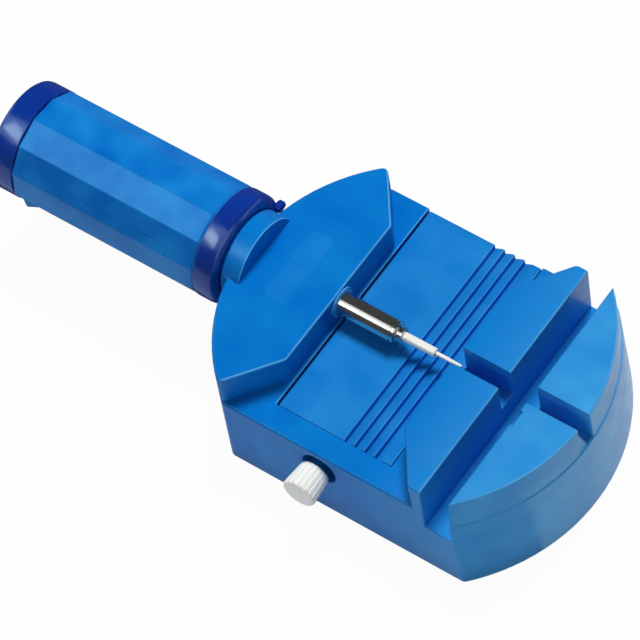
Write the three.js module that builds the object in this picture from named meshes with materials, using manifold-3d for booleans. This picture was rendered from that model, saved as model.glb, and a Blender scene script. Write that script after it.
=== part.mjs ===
// Watch link remover. A moulded base carries two slotted jaws, a bed plate and a threaded neck.
// The handle turns along the neck and pushes a needle over the bed. A thumb screw in the side
// moves the bed plate along a slope, which sets the height of the bed.
// Millimetres. +X runs from the handle to the jaws, +Y away from the thumb screw and +Z up.

import * as THREE from "three";
import { mergeVertices, toCreasedNormals } from "three/addons/utils/BufferGeometryUtils.js";
import Module from "manifold-3d";

const wasm = await Module();
wasm.setup();

// Clearances
const gap = 0.3; // between neighbouring pieces
const needleGap = 0.2; // round a needle in its hole
const overrun = 2; // how far a cutter runs past the face that it cuts

// Height of the tool's long axis
const axisHeight = 20.4;

// Base moulding
const base = {
  halfWidth: 25,
  discCentre: 2.4, // the plan is a disc with two flat sides, and this is its centre
  rearRadius: 33.1,
  frontRadius: 34.2, // at the top of the jaws
  frontFlare: 1.2, // growth of the front radius from there to the foot
  ledgeHeight: 17,
  topHeight: 23.6,
  bedRear: -12, // front face of the rear block
  bedFront: 11.7, // rear face of the inner jaw
  chamferLong: 7.1, // cut corners that face each other over the bed
  chamferWide: 9.6,
  planRound: 1.2,
  edgeRound: 0.4,
  footRound: 0.3,
  seamStep: 0.2, // the jaws stand in by this from the lower body
};

// Jaws
const jaw = {
  innerLong: 9.4, // along the tool
  crossSlotLong: 5.2,
  crossSlotFloor: 12.5,
  pinSlotWide: 3.4,
  notchDeep: 0.6, // small notch in the outer jaw's rear face, beside the pin slot
  notchWide: 3,
  notchPlace: 4.9, // from the tool's axis to its middle
  notchTall: 2.4,
};

// Neck that the handle turns on, and the boss at its root
const neck = {
  radius: 7.6,
  length: 25.2,
  bossRadius: 8.2,
  bossLong: 3.6,
  tipChamfer: 0.8,
  rimRadius: 2.95, // raised rim round the rod in the bed's rear wall
  rimProud: 0.35,
};

// Hollows under the base that keep its walls even
const core = {
  wall: 2.8,
  rib: 2,
  roofFront: 9.4,
  roofRear: 11,
  frontLong: 20,
  rearLong: 11,
  bedWall: 2, // plastic between the bed and a hollow
};

// Bed plate on its slope
const bed = {
  ledgeWide: 4.7, // near wall that holds the thumb screw
  rearStrip: 0.6, // strip of base between the rear block and the plate's channel
  rearGap: 0.5,
  farInset: 0.4,
  floorNear: 3.2, // channel floor at the ledge
  floorRise: 7.6, // from there to the far side
  edgeChamfer: 0.2,
  stepCount: 4, // saw-tooth steps that stop a link from sliding back
  stepFirst: 2.2, // place along the tool
  stepPitch: 2.02,
  stepDeep: 1.15,
  stepLand: 0.18, // flat left on each crest
};

// Thumb screw that moves the bed plate
const screw = {
  alongTool: -0.4,
  height: 12.2,
  knobRadius: 3.15,
  knobTaperShare: 0.87, // radius at the inner end, as a share of the outer end's
  knobLong: 5.2,
  knobProud: 5.7, // outside the base's side
  knobEdge: 0.4,
  toothDeep: 0.3,
  teeth: 20,
  shoulderRadius: 2.2, // between the head and the washer
  shankRadius: 1.5,
  shankLong: 21.1,
  recessRadius: 3.9,
  recessDeep: 1.9,
  washerThick: 0.3,
  washerRadius: 2.6,
  clipThick: 0.45,
  clipRadius: 2.6,
  clipMouth: 70, // degrees
  clipGrooveDeep: 0.45,
  pocketRadius: 3,
};

// Square nut on the thumb screw
const nut = {
  wide: 5.5,
  thick: 2.4,
  fromPlateEdge: 5.2,
  cornerRound: 0.5,
};

// Push rod and the parts at its nose
const rod = {
  radius: 2.07,
  noseFromBed: 11.6, // nose beyond the rear block's front face
  noseChamfer: 0.15,
  lipLong: 0.55, // thin lip at the nose, behind a shallow groove
  lipGroove: 0.2,
  headRadius: 4.2,
  headThick: 1.5,
  boreLong: 7.4,
  ferruleRadius: 1.45,
  ferruleLong: 0.9,
  ferruleGroove: 0.25,
  holderRadius: 0.8,
  holderProud: 7.6, // beyond the rod's nose
  holderRound: 0.15,
  needleRadius: 0.37,
  needleProud: 5.1, // beyond the holder
  needleHidden: 5.2,
};

// Handle
const grip = {
  sides: 12,
  phase: 9, // degrees, to the first ridge
  ridgeRadius: 10.35,
  ridgeRound: 0.9,
  endRound: 0.35,
  long: 37.7,
  wallRadius: 8, // bore
  socketRadius: 9.1, // for the collar's spigot
  socketLong: 3,
  partitionThick: 2.5,
  plugThick: 2,
  plugSlotWide: 0.8,
  washerThick: 0.5,
  washerRadius: 4.8,
};

const collar = {
  radius: 10.15,
  long: 3.4,
  lipRadius: 8.6, // front end of the cone that slopes down to the boss
  lipLong: 0.7,
  edgeRound: 0.45,
  toBase: 0.3,
};

const cap = {
  radius: 10.15,
  long: 4.8,
  edgeRound: 0.9,
  spigotLong: 3.4,
  spigotWall: 1.4,
  floorThick: 1.5,
  ringRadius: 0.5, // rubber ring on the spigot
  ringSeat: 0.3, // depth of its groove
  rackRadius: 3.2,
  rackLong: 5.2,
  needles: 3,
  needleCircle: 1.7,
};

// Small lugs on the handle, one at each end, that narrow from root to top
const lug = {
  round: 0.5,
  collarAngle: 8, // degrees up from the far side
  collarProud: 0.7,
  collarLong: 1.6,
  collarTopLong: 1.2,
  collarWide: 1.8,
  collarTopWide: 1.3,
  collarAhead: 0.65, // beyond the collar's front face, which the screw motion draws clear of the base
  gripAngle: 224,
  gripProud: 1,
  gripLong: 4.6,
  gripTopLong: 0.4,
  gripWide: 7,
  gripTopWide: 0.8,
  gripFromEnd: 0.2,
};

// Facets on round pieces
const roundSteps = { large: 40, middle: 28, small: 16, needle: 10, corner: 4, edge: 2, disc: 26 };

// Places worked out from the sizes
const rearBlockFace = base.bedRear;
const bossRear = base.discCentre - base.rearRadius - neck.rimProud / 2;
const bossFront = bossRear + neck.bossLong;
const neckEnd = bossRear - neck.length;
const innerJawFront = base.bedFront + jaw.innerLong;
const outerJawRear = innerJawFront + jaw.crossSlotLong;
const boreRadius = rod.radius + gap;

const channelRear = base.bedRear + bed.rearStrip;
const channelFront = base.bedFront;
const ledgeInner = -base.halfWidth + bed.ledgeWide;
const slopeShare = bed.floorRise / (base.halfWidth - ledgeInner);
const plateRear = channelRear + bed.rearGap;
const plateFront = channelFront - gap;
const plateNear = ledgeInner + gap;
const plateFar = base.halfWidth - bed.farInset;

const knobInner = -base.halfWidth - screw.knobProud + screw.knobLong;
const recessFloor = -base.halfWidth + screw.recessDeep;
const nutNear = plateNear + nut.fromPlateEdge;

const rodNose = base.bedRear + rod.noseFromBed;
const holderTip = rodNose + rod.holderProud;
const needleTip = holderTip + rod.needleProud;

const collarFront = bossRear - collar.toBase;
const collarRear = collarFront - collar.lipLong - collar.long;
const gripFront = collarRear - gap;
const gripRear = gripFront - grip.long;
const partitionFront = neckEnd - overrun;
const partitionRear = partitionFront - grip.partitionThick;
const rodHeadFront = partitionRear - gap - grip.washerThick - gap;
const rodHeadRear = rodHeadFront - rod.headThick;
const rearWasherFront = rodHeadRear - gap;
const plugFront = rearWasherFront - grip.washerThick - gap;
const plugRear = plugFront - grip.plugThick;
const capFront = gripRear - gap;
const capRear = capFront - cap.long;
const capFloor = capRear + cap.floorThick;

// Height of the channel's sloping floor at a place across the tool
function floorAt(y) {
  return bed.floorNear + slopeShare * (y - ledgeInner);
}

// Solids

function solid(geometry) {
  const bare = geometry.clone();
  bare.deleteAttribute("normal");
  bare.deleteAttribute("uv");
  const merged = mergeVertices(bare, 1e-5);
  const vertProperties = new Float32Array(merged.attributes.position.array);
  const triVerts = new Uint32Array(merged.index.array);
  let made = new wasm.Manifold(new wasm.Mesh({ numProp: 3, vertProperties, triVerts }));
  if (made.volume() < 0) {
    made = new wasm.Manifold(new wasm.Mesh({ numProp: 3, vertProperties, triVerts: triVerts.reverse() }));
  }
  return made;
}

function joined(solids) {
  return solids.reduce((whole, next) => whole.add(next));
}

function cut(body, cutters) {
  return cutters.reduce((whole, next) => whole.subtract(next), body);
}

function named(name, body, material) {
  const made = body.getMesh();
  const geometry = new THREE.BufferGeometry();
  geometry.setAttribute("position", new THREE.BufferAttribute(new Float32Array(made.vertProperties), 3));
  geometry.setIndex(new THREE.BufferAttribute(new Uint32Array(made.triVerts), 1));
  const mesh = new THREE.Mesh(toCreasedNormals(geometry, THREE.MathUtils.degToRad(32)), material.clone());
  mesh.name = name;
  return mesh;
}

// Outlines

function at(x, y, round = 0) {
  return { x, y, round };
}

// Corners of an arc about a centre on the long axis, from one angle to another in radians
function arc(centre, radius, from, to, steps = roundSteps.disc) {
  const corners = [];
  for (let step = 0; step <= steps; step += 1) {
    const angle = from + ((to - from) * step) / steps;
    corners.push(at(centre + radius * Math.cos(angle), radius * Math.sin(angle)));
  }
  return corners;
}

// Rounds the corners that ask for it, as far as their sides have room
function softened(corners) {
  const points = [];
  corners.forEach((here, index) => {
    const spot = new THREE.Vector2(here.x, here.y);
    if (!here.round) {
      points.push(spot);
      return;
    }
    const before = corners[(index + corners.length - 1) % corners.length];
    const after = corners[(index + 1) % corners.length];
    const back = new THREE.Vector2(before.x, before.y).sub(spot);
    const ahead = new THREE.Vector2(after.x, after.y).sub(spot);
    const room = Math.min(back.length(), ahead.length()) / 2;
    back.normalize();
    ahead.normalize();
    const half = Math.acos(THREE.MathUtils.clamp(back.dot(ahead), -1, 1)) / 2;
    const reach = Math.min(here.round / Math.tan(half), room);
    const radius = reach * Math.tan(half);
    const centre = back.clone().add(ahead).normalize().multiplyScalar(radius / Math.sin(half)).add(spot);
    const first = back.multiplyScalar(reach).add(spot).sub(centre);
    const last = ahead.multiplyScalar(reach).add(spot).sub(centre);
    const turn = Math.atan2(first.cross(last), first.dot(last));
    for (let step = 0; step <= roundSteps.corner; step += 1) {
      const angle = (turn * step) / roundSteps.corner;
      points.push(first.clone().rotateAround(new THREE.Vector2(), angle).add(centre));
    }
  });
  return points;
}

// Moves every side of a closed outline inward by one amount
function shrunk(points, amount) {
  return points.map((spot, index) => {
    const before = points[(index + points.length - 1) % points.length];
    const after = points[(index + 1) % points.length];
    const into = spot.clone().sub(before).normalize();
    const out = after.clone().sub(spot).normalize();
    const normals = new THREE.Vector2(into.y + out.y, -into.x - out.x);
    return spot.clone().sub(normals.multiplyScalar(amount / (1 + into.dot(out))));
  });
}

// Skins outlines of equal count, each with its own level, into one closed solid
function lofted(layers) {
  const count = layers[0].points.length;
  const positions = layers.flatMap(({ points, level }) => points.flatMap((spot) => [spot.x, spot.y, level]));
  const faces = [];
  for (let layer = 0; layer < layers.length - 1; layer += 1) {
    for (let side = 0; side < count; side += 1) {
      const next = (side + 1) % count;
      const [low, high] = [layer * count, (layer + 1) * count];
      faces.push(low + side, low + next, high + next, low + side, high + next, high + side);
    }
  }
  const top = (layers.length - 1) * count;
  for (const [a, b, c] of THREE.ShapeUtils.triangulateShape(layers[0].points, [])) {
    faces.push(a, c, b);
  }
  for (const [a, b, c] of THREE.ShapeUtils.triangulateShape(layers[layers.length - 1].points, [])) {
    faces.push(top + a, top + b, top + c);
  }
  const geometry = new THREE.BufferGeometry();
  geometry.setAttribute("position", new THREE.Float32BufferAttribute(positions, 3));
  geometry.setIndex(faces);
  return geometry;
}

// Layers of a rounded edge: inset and drop from the face, from the side to the face
function edgeLayers(round) {
  const layers = [];
  for (let step = 0; step <= roundSteps.edge; step += 1) {
    const angle = (Math.PI / 2) * (step / roundSteps.edge);
    layers.push({ inset: round * (1 - Math.cos(angle)), drop: round * (1 - Math.sin(angle)) });
  }
  return layers;
}

// A slab whose outline can change with the level and takes its own inset, with its edges rounded
function slab(outlineAt, low, high, lowRound, highRound) {
  const below = lowRound ? edgeLayers(lowRound).reverse() : [{ inset: 0, drop: 0 }];
  const above = highRound ? edgeLayers(highRound) : [{ inset: 0, drop: 0 }];
  return lofted([
    ...below.map(({ inset, drop }) => ({ level: low + drop, points: outlineAt(low + drop, inset) })),
    ...above.map(({ inset, drop }) => ({ level: high - drop, points: outlineAt(high - drop, inset) })),
  ]);
}

// Turns a solid built along Z to lie along the tool's axis
function alongTool(geometry) {
  const basis = new THREE.Matrix4().makeBasis(
    new THREE.Vector3(0, 1, 0),
    new THREE.Vector3(0, 0, 1),
    new THREE.Vector3(1, 0, 0),
  );
  return geometry.applyMatrix4(basis).translate(0, 0, axisHeight);
}

// Revolves a profile of places along the tool and radii about the tool's axis
function turned(profile, steps) {
  const points = profile.map(([place, radius]) => new THREE.Vector2(radius, place));
  return alongTool(new THREE.LatheGeometry(points, steps).rotateX(Math.PI / 2));
}

// Revolves a profile of places across the tool and radii about the thumb screw's axis
function turnedAcross(profile, steps) {
  const points = profile.map(([place, radius]) => new THREE.Vector2(radius, place));
  return new THREE.LatheGeometry(points, steps).translate(screw.alongTool, 0, screw.height);
}

// Closed profile of a plain ring
function ringProfile(from, to, inner, outer) {
  return [[from, inner], [from, outer], [to, outer], [to, inner], [from, inner]];
}

function rodProfile(from, to, radius) {
  return [[from, 0], [from, radius], [to, radius], [to, 0]];
}

function block(low, high) {
  const size = new THREE.Vector3().subVectors(high, low);
  const middle = new THREE.Vector3().addVectors(low, high).multiplyScalar(0.5);
  return new THREE.BoxGeometry(size.x, size.y, size.z).translate(middle.x, middle.y, middle.z);
}

// Extrudes a side view of places across the tool and heights, along the tool
function extrudedAlong(points, from, to) {
  const shape = new THREE.Shape(points.map(([y, z]) => new THREE.Vector2(y, z)));
  const geometry = new THREE.ExtrudeGeometry(shape, { depth: to - from, bevelEnabled: false });
  return geometry.applyMatrix4(new THREE.Matrix4().makeBasis(
    new THREE.Vector3(0, 1, 0),
    new THREE.Vector3(0, 0, 1),
    new THREE.Vector3(1, 0, 0),
  )).translate(from, 0, 0);
}

// Extrudes a front view of places along the tool and heights, across the tool
function extrudedAcross(shape, from, to) {
  const geometry = new THREE.ExtrudeGeometry(shape, {
    depth: to - from,
    bevelEnabled: false,
    curveSegments: roundSteps.small,
  });
  return geometry.rotateX(Math.PI / 2).translate(0, to, 0);
}

// Base moulding

function frontRadiusAt(height) {
  return base.frontRadius + base.frontFlare * (1 - height / base.topHeight);
}

// A disc with two flat sides, its front arc of one radius and its rear arc of another
function flatSidedDisc(front, rear, half, round) {
  const frontAngle = Math.asin(half / front);
  const rearAngle = Math.asin(half / rear);
  const frontArc = arc(base.discCentre, front, -frontAngle, frontAngle);
  const rearArc = arc(base.discCentre, rear, Math.PI - rearAngle, Math.PI + rearAngle);
  for (const end of [frontArc[0], frontArc.at(-1), rearArc[0], rearArc.at(-1)]) {
    end.round = round;
  }
  return softened([...frontArc, ...rearArc]);
}

function bodyOutline(height, inset) {
  const front = frontRadiusAt(height) + base.seamStep;
  return flatSidedDisc(front - inset, base.rearRadius - inset, base.halfWidth - inset, base.planRound);
}

function rearBlockOutline(height, inset) {
  const angle = Math.asin(base.halfWidth / base.rearRadius);
  const rearArc = arc(base.discCentre, base.rearRadius, Math.PI - angle, Math.PI + angle);
  rearArc[0].round = base.planRound;
  rearArc.at(-1).round = base.planRound;
  const inner = base.halfWidth - base.chamferWide;
  return shrunk(softened([
    ...rearArc,
    at(rearBlockFace, -inner, base.planRound),
    at(rearBlockFace, inner, base.planRound),
  ]), inset);
}

function innerJawOutline(height, inset) {
  const inner = base.halfWidth - base.chamferWide;
  const shoulder = base.bedFront + base.chamferLong;
  return shrunk(softened([
    at(base.bedFront, -inner, base.planRound),
    at(shoulder, -base.halfWidth, base.planRound),
    at(innerJawFront, -base.halfWidth),
    at(innerJawFront, base.halfWidth),
    at(shoulder, base.halfWidth, base.planRound),
    at(base.bedFront, inner, base.planRound),
  ]), inset);
}

function outerJawOutline(height, inset) {
  const front = frontRadiusAt(height) - inset;
  const angle = Math.acos((outerJawRear + inset - base.discCentre) / front);
  return softened(arc(base.discCentre, front, -angle, angle));
}

function mouldedBlocks() {
  const root = base.ledgeHeight - overrun;
  const { topHeight, edgeRound } = base;
  const [rearBlock, innerJaw, outerJaw] = [rearBlockOutline, innerJawOutline, outerJawOutline]
    .map((outline) => solid(slab(outline, root, topHeight, 0, edgeRound)));
  const within = solid(slab(bodyOutline, 0, topHeight + overrun, 0, 0));
  return [rearBlock, innerJaw, outerJaw.intersect(within)];
}

function neckAndBoss() {
  const boss = turned(rodProfile(bossRear, bossFront, neck.bossRadius), roundSteps.large);
  const shaft = turned([
    [neckEnd, 0],
    [neckEnd, neck.radius - neck.tipChamfer],
    [neckEnd + neck.tipChamfer, neck.radius],
    [bossFront, neck.radius],
    [bossFront, 0],
  ], roundSteps.large);
  const rim = turned(rodProfile(rearBlockFace - overrun, rearBlockFace + neck.rimProud, neck.rimRadius), roundSteps.middle);
  return [boss, shaft, rim].map(solid);
}

// The channel of the bed plate, open at the far side and over the slope
function channelCutter() {
  const far = base.halfWidth + overrun;
  return solid(extrudedAlong([
    [ledgeInner, floorAt(ledgeInner)],
    [far, floorAt(far)],
    [far, base.topHeight],
    [ledgeInner, base.topHeight],
  ], channelRear, channelFront));
}

function jawCutters() {
  const half = jaw.pinSlotWide / 2;
  const side = base.halfWidth + overrun;
  const top = base.topHeight + overrun;
  const nose = base.discCentre + base.frontRadius + base.frontFlare + overrun;
  const notchNear = -jaw.notchPlace - jaw.notchWide / 2;
  return [
    block(new THREE.Vector3(innerJawFront, -side, jaw.crossSlotFloor), new THREE.Vector3(outerJawRear, side, top)),
    block(new THREE.Vector3(base.bedFront - overrun, -half, base.ledgeHeight), new THREE.Vector3(nose, half, top)),
    block(
      new THREE.Vector3(innerJawFront + overrun, notchNear, base.topHeight - jaw.notchTall),
      new THREE.Vector3(outerJawRear + jaw.notchDeep, notchNear + jaw.notchWide, top),
    ),
  ].map(solid);
}

function screwCutters() {
  const recess = turnedAcross(rodProfile(-base.halfWidth - overrun, recessFloor, screw.recessRadius), roundSteps.middle);
  const hole = turnedAcross(
    rodProfile(recessFloor - overrun, ledgeInner + overrun, screw.shankRadius + gap),
    roundSteps.small,
  );
  const pocketFloor = clipNear() - gap;
  const pocket = turnedAcross(rodProfile(pocketFloor, ledgeInner + overrun, screw.pocketRadius), roundSteps.middle);
  return [recess, hole, pocket].map(solid);
}

// Rows of hollows under the jaws and under the rear block, inside the moulding's outline
function underCores() {
  const inside = base.halfWidth - core.wall;
  const frontFrom = base.bedFront + core.bedWall;
  const rearTo = base.bedRear - core.bedWall;
  const frontRows = coreCells(frontFrom, frontFrom + core.frontLong, 2, inside, 4, core.roofFront);
  const rearRows = coreCells(rearTo - core.rearLong, rearTo, 1, inside, 5, core.roofRear);
  const outline = () => flatSidedDisc(base.frontRadius - core.wall, base.rearRadius - core.wall, inside, 0);
  const within = solid(slab(outline, -overrun, base.topHeight, 0, 0));
  return [...frontRows, ...rearRows].map((cell) => cell.intersect(within));
}

function coreCells(from, to, columns, side, rows, roof) {
  const long = (to - from - core.rib * (columns - 1)) / columns;
  const wide = (2 * side - core.rib * (rows - 1)) / rows;
  const cells = [];
  for (let column = 0; column < columns; column += 1) {
    for (let row = 0; row < rows; row += 1) {
      const x = from + column * (long + core.rib);
      const y = -side + row * (wide + core.rib);
      cells.push(solid(block(new THREE.Vector3(x, y, -overrun), new THREE.Vector3(x + long, y + wide, roof))));
    }
  }
  return cells;
}

function baseBody() {
  const lower = solid(slab(bodyOutline, 0, base.ledgeHeight, base.footRound, base.edgeRound));
  const bore = solid(turned(
    rodProfile(neckEnd - overrun, rearBlockFace + overrun, boreRadius),
    roundSteps.middle,
  ));
  const whole = joined([lower, ...mouldedBlocks(), ...neckAndBoss()]);
  return cut(whole, [channelCutter(), bore, ...jawCutters(), ...screwCutters(), ...underCores()]);
}

// Bed plate: a wedge with steps on top, and a slot and a pocket below for the screw and nut

function bedPlate() {
  const { edgeChamfer: edge } = bed;
  const top = base.ledgeHeight;
  const lift = gap * Math.hypot(1, slopeShare);
  const wedge = solid(extrudedAlong([
    [plateNear, floorAt(plateNear) + lift],
    [plateFar, floorAt(plateFar) + lift],
    [plateFar, top - edge],
    [plateFar - edge, top],
    [plateNear + edge, top],
    [plateNear, top - edge],
  ], plateRear, plateFront));
  return cut(wedge, [...plateSteps(), ...plateHollows()]);
}

// Each step drops straight down and climbs back to the next crest
function plateSteps() {
  const top = base.ledgeHeight;
  return Array.from({ length: bed.stepCount }, (_, index) => {
    const drop = bed.stepFirst + index * bed.stepPitch;
    const crest = drop + bed.stepPitch - bed.stepLand;
    const shape = new THREE.Shape([
      new THREE.Vector2(drop, top + overrun),
      new THREE.Vector2(drop, top - bed.stepDeep),
      new THREE.Vector2(crest, top),
      new THREE.Vector2(crest, top + overrun),
    ]);
    return solid(extrudedAcross(shape, plateNear - overrun, plateFar + overrun));
  });
}

function plateHollows() {
  const slotHalf = screw.shankRadius + gap;
  const slotTop = screw.height + slotHalf;
  const nutHalf = nut.wide / 2 + gap;
  const shankEnd = knobInner + screw.shankLong;
  return [
    block(
      new THREE.Vector3(screw.alongTool - slotHalf, plateNear - overrun, 0),
      new THREE.Vector3(screw.alongTool + slotHalf, shankEnd + gap, slotTop),
    ),
    block(
      new THREE.Vector3(screw.alongTool - nutHalf, nutNear - gap, 0),
      new THREE.Vector3(screw.alongTool + nutHalf, nutNear + nut.thick + gap, screw.height + nutHalf),
    ),
  ].map(solid);
}

// Thumb screw, its washer, its clip and the nut

function clipNear() {
  return ledgeInner - gap - screw.clipThick;
}

function toothedOutline(radius) {
  const points = [];
  for (let index = 0; index < 2 * screw.teeth; index += 1) {
    const angle = (Math.PI * index) / screw.teeth;
    const reach = radius - (index % 2) * screw.toothDeep;
    points.push(new THREE.Vector2(reach * Math.cos(angle), reach * Math.sin(angle)));
  }
  return points;
}

function thumbScrew() {
  const { knobRadius, knobEdge, knobLong, clipGrooveDeep } = screw;
  const inner = knobRadius * screw.knobTaperShare;
  const knob = lofted([
    { level: 0, points: toothedOutline(inner - knobEdge) },
    { level: knobEdge, points: toothedOutline(inner) },
    { level: knobLong - knobEdge, points: toothedOutline(knobRadius) },
    { level: knobLong, points: toothedOutline(knobRadius - knobEdge) },
  ]).rotateX(Math.PI / 2).translate(screw.alongTool, knobInner, screw.height);
  const grooveRadius = screw.shankRadius - clipGrooveDeep;
  const grooveFrom = clipNear() - gap;
  const grooveTo = clipNear() + screw.clipThick + gap;
  const end = knobInner + screw.shankLong;
  const shoulderEnd = recessFloor - gap - screw.washerThick - gap;
  const shank = turnedAcross([
    [knobInner - overrun, 0],
    [knobInner - overrun, screw.shoulderRadius],
    [shoulderEnd, screw.shoulderRadius],
    [shoulderEnd, screw.shankRadius],
    [grooveFrom, screw.shankRadius],
    [grooveFrom, grooveRadius],
    [grooveTo, grooveRadius],
    [grooveTo, screw.shankRadius],
    [end - clipGrooveDeep, screw.shankRadius],
    [end, grooveRadius],
    [end, 0],
  ], roundSteps.small);
  return joined([solid(knob), solid(shank)]);
}

function bedWasher() {
  const from = recessFloor - gap - screw.washerThick;
  return solid(turnedAcross(
    ringProfile(from, from + screw.washerThick, screw.shankRadius + gap, screw.washerRadius),
    roundSteps.middle,
  ));
}

// A retaining ring with an open mouth, pressed on from below
function bedClip() {
  const mouth = THREE.MathUtils.degToRad(screw.clipMouth / 2);
  const down = -Math.PI / 2;
  const inner = screw.shankRadius - screw.clipGrooveDeep + gap;
  const shape = new THREE.Shape();
  shape.absarc(0, 0, screw.clipRadius, down + mouth, down - mouth + 2 * Math.PI, false);
  shape.absarc(0, 0, inner, down - mouth + 2 * Math.PI, down + mouth, true);
  const ring = extrudedAcross(shape, clipNear(), clipNear() + screw.clipThick);
  return solid(ring.translate(screw.alongTool, 0, screw.height));
}

function bedNut() {
  const half = nut.wide / 2;
  const outline = softened([
    at(-half, -half, nut.cornerRound),
    at(half, -half, nut.cornerRound),
    at(half, half, nut.cornerRound),
    at(-half, half, nut.cornerRound),
  ]);
  const shape = new THREE.Shape(outline);
  shape.holes.push(new THREE.Path().absarc(0, 0, screw.shankRadius + gap, 0, 2 * Math.PI, true));
  const plate = extrudedAcross(shape, nutNear, nutNear + nut.thick);
  return solid(plate.translate(screw.alongTool, 0, screw.height));
}

// Push rod and its nose

function pushRod() {
  const hole = rod.holderRadius + gap;
  const lipRear = rodNose - rod.lipLong;
  return solid(turned([
    [rodHeadRear, 0],
    [rodHeadRear, rod.headRadius],
    [rodHeadFront, rod.headRadius],
    [rodHeadFront, rod.radius],
    [lipRear - rod.lipGroove, rod.radius],
    [lipRear - rod.lipGroove, rod.radius - rod.lipGroove],
    [lipRear, rod.radius - rod.lipGroove],
    [lipRear, rod.radius],
    [rodNose - rod.noseChamfer, rod.radius],
    [rodNose, rod.radius - rod.noseChamfer],
    [rodNose, hole],
    [rodNose - rod.boreLong, hole],
    [rodNose - rod.boreLong, 0],
  ], roundSteps.middle));
}

// Small grooved ring that closes the rod's nose round the pin holder
function pinFerrule() {
  const from = rodNose + gap;
  const to = from + rod.ferruleLong;
  const inner = rod.holderRadius + needleGap;
  const waist = rod.ferruleRadius - rod.ferruleGroove;
  const third = rod.ferruleLong / 3;
  return solid(turned([
    [from, inner],
    [from, rod.ferruleRadius],
    [from + third, rod.ferruleRadius],
    [from + third, waist],
    [to - third, waist],
    [to - third, rod.ferruleRadius],
    [to, rod.ferruleRadius],
    [to, inner],
    [from, inner],
  ], roundSteps.middle));
}

function pinHolder() {
  const rear = rodNose - rod.boreLong + gap;
  const hole = rod.needleRadius + needleGap;
  const holeEnd = holderTip - rod.needleHidden - needleGap;
  return solid(turned([
    [rear, 0],
    [rear, rod.holderRadius],
    [holderTip - rod.holderRound, rod.holderRadius],
    [holderTip, rod.holderRadius - rod.holderRound],
    [holderTip, hole],
    [holeEnd, hole],
    [holeEnd, 0],
  ], roundSteps.small));
}

function needle() {
  const rear = holderTip - rod.needleHidden;
  return solid(turned(rodProfile(rear, needleTip, rod.needleRadius), roundSteps.needle));
}

// Handle

// A lug that runs from its root to its top, at an angle in degrees up from the far side
function handleLug(root, top, angle) {
  const layers = [root, top].map(({ radius, from, to, wide }) => ({
    level: radius,
    points: softened([
      at(from, -wide / 2, lug.round),
      at(to, -wide / 2, lug.round),
      at(to, wide / 2, lug.round),
      at(from, wide / 2, lug.round),
    ]),
  }));
  const turn = THREE.MathUtils.degToRad(angle) - Math.PI / 2;
  return solid(lofted(layers).rotateX(turn).translate(0, 0, axisHeight));
}

function gripLug() {
  const from = gripRear + lug.gripFromEnd;
  const rootRadius = (grip.wallRadius + grip.ridgeRadius) / 2;
  const topRadius = grip.ridgeRadius + lug.gripProud;
  const root = { radius: rootRadius, from, to: from + lug.gripLong, wide: lug.gripWide };
  const top = { radius: topRadius, from, to: from + lug.gripTopLong, wide: lug.gripTopWide };
  return handleLug(root, top, lug.gripAngle);
}

function collarLug() {
  const to = collarFront + lug.collarAhead;
  const rootRadius = Math.max(collar.lipRadius, neck.bossRadius) + gap;
  const topRadius = collar.radius + lug.collarProud;
  const root = { radius: rootRadius, from: to - lug.collarLong, to, wide: lug.collarWide };
  const top = { radius: topRadius, from: to - lug.collarTopLong, to, wide: lug.collarTopWide };
  return handleLug(root, top, lug.collarAngle);
}

function gripOutline(place, inset) {
  const corners = [];
  for (let side = 0; side < grip.sides; side += 1) {
    const angle = THREE.MathUtils.degToRad(grip.phase + (360 * side) / grip.sides);
    corners.push(at(grip.ridgeRadius * Math.cos(angle), grip.ridgeRadius * Math.sin(angle), grip.ridgeRound));
  }
  return shrunk(softened(corners), inset);
}

function handleGrip() {
  const prism = solid(alongTool(slab(gripOutline, gripRear, gripFront, grip.endRound, grip.endRound)));
  const front = turned(rodProfile(partitionFront, gripFront + overrun, grip.wallRadius), roundSteps.large);
  const socket = turned(
    rodProfile(gripFront - grip.socketLong, gripFront + overrun, grip.socketRadius),
    roundSteps.large,
  );
  const rear = turned(rodProfile(gripRear - overrun, partitionRear, grip.wallRadius), roundSteps.large);
  const hole = turned(rodProfile(partitionRear - overrun, partitionFront + overrun, boreRadius), roundSteps.middle);
  return cut(joined([prism, gripLug()]), [front, socket, rear, hole].map(solid));
}

function handleCollar() {
  const inner = neck.radius + gap;
  const spigot = grip.socketRadius - gap;
  const spigotRear = gripFront - grip.socketLong + gap;
  const lipRear = collarFront - collar.lipLong;
  const { radius, edgeRound: edge } = collar;
  return joined([collarLug(), solid(turned([
    [spigotRear, inner],
    [spigotRear, spigot],
    [collarRear, spigot],
    [collarRear, radius - edge / 2],
    [collarRear + edge / 2, radius],
    [lipRear - edge, radius],
    [lipRear, radius - edge],
    [collarFront, collar.lipRadius],
    [collarFront, inner],
    [spigotRear, inner],
  ], roundSteps.large))]);
}

// Brass washers on each side of the rod's head
function thrustWasher(front) {
  const profile = ringProfile(front - grip.washerThick, front, boreRadius, grip.washerRadius);
  return solid(turned(profile, roundSteps.middle));
}

function rearWasher() {
  return solid(turned(
    rodProfile(rearWasherFront - grip.washerThick, rearWasherFront, grip.washerRadius),
    roundSteps.middle,
  ));
}

// Screwed disc that keeps the rod's head in the handle, with a driver slot
function thrustPlug() {
  const disc = solid(turned(rodProfile(plugRear, plugFront, grip.wallRadius - gap), roundSteps.large));
  const deep = grip.plugThick / 2;
  const half = grip.plugSlotWide / 2;
  const side = grip.wallRadius;
  const slot = solid(block(
    new THREE.Vector3(plugRear - overrun, -side, axisHeight - half),
    new THREE.Vector3(plugRear + deep, side, axisHeight + half),
  ));
  return cut(disc, [slot]);
}

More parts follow.
